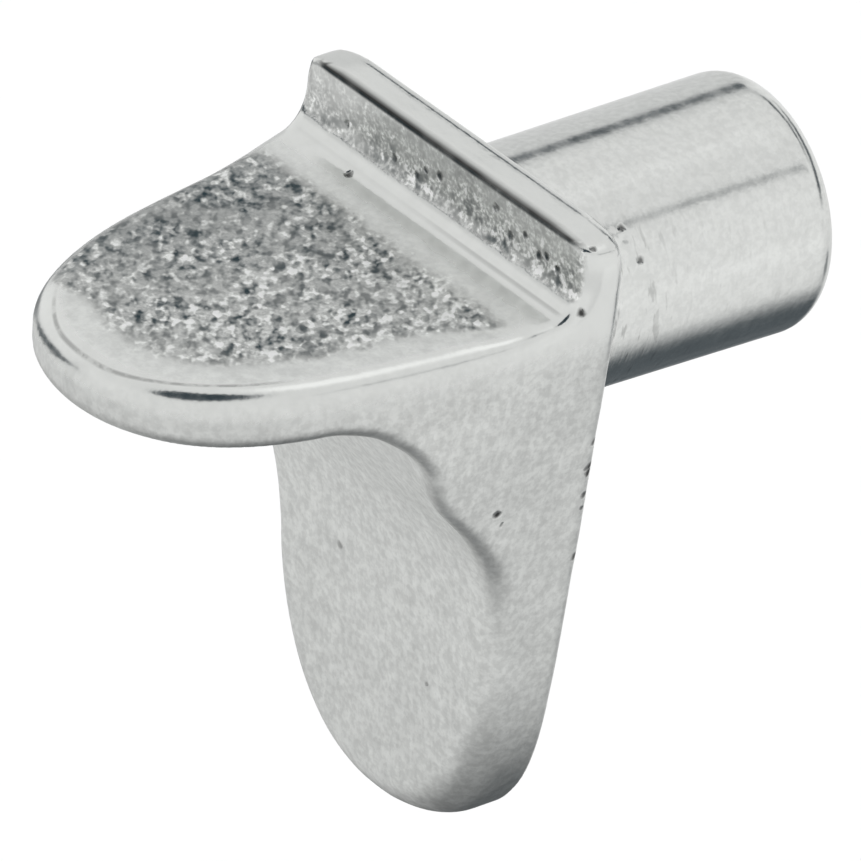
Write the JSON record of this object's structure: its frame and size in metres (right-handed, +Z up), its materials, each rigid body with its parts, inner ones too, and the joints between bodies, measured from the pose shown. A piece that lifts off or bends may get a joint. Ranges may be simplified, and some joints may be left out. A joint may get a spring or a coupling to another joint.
{
  "type": "shelf support pin",
  "caption": "Cast shelf support with a round pin for a drilled cabinet side, a rounded seat tongue with a low back lip, and a tapering leg joined by a curved gusset.",
  "frame": {"origin": "on the pin's axis, at the plate's back face, where it meets the cabinet side", "axes": "+Y along the pin into the cabinet side, +X across the tongue, +Z up"},
  "size_m": [0.0094, 0.0161, 0.0142],
  "materials": {
    "plated_zinc": "bright plated, satin, with a fine cast grain"
  },
  "bodies": {
    "root": {"shelf_support": "plated_zinc"}
  },
  "joints": []
}
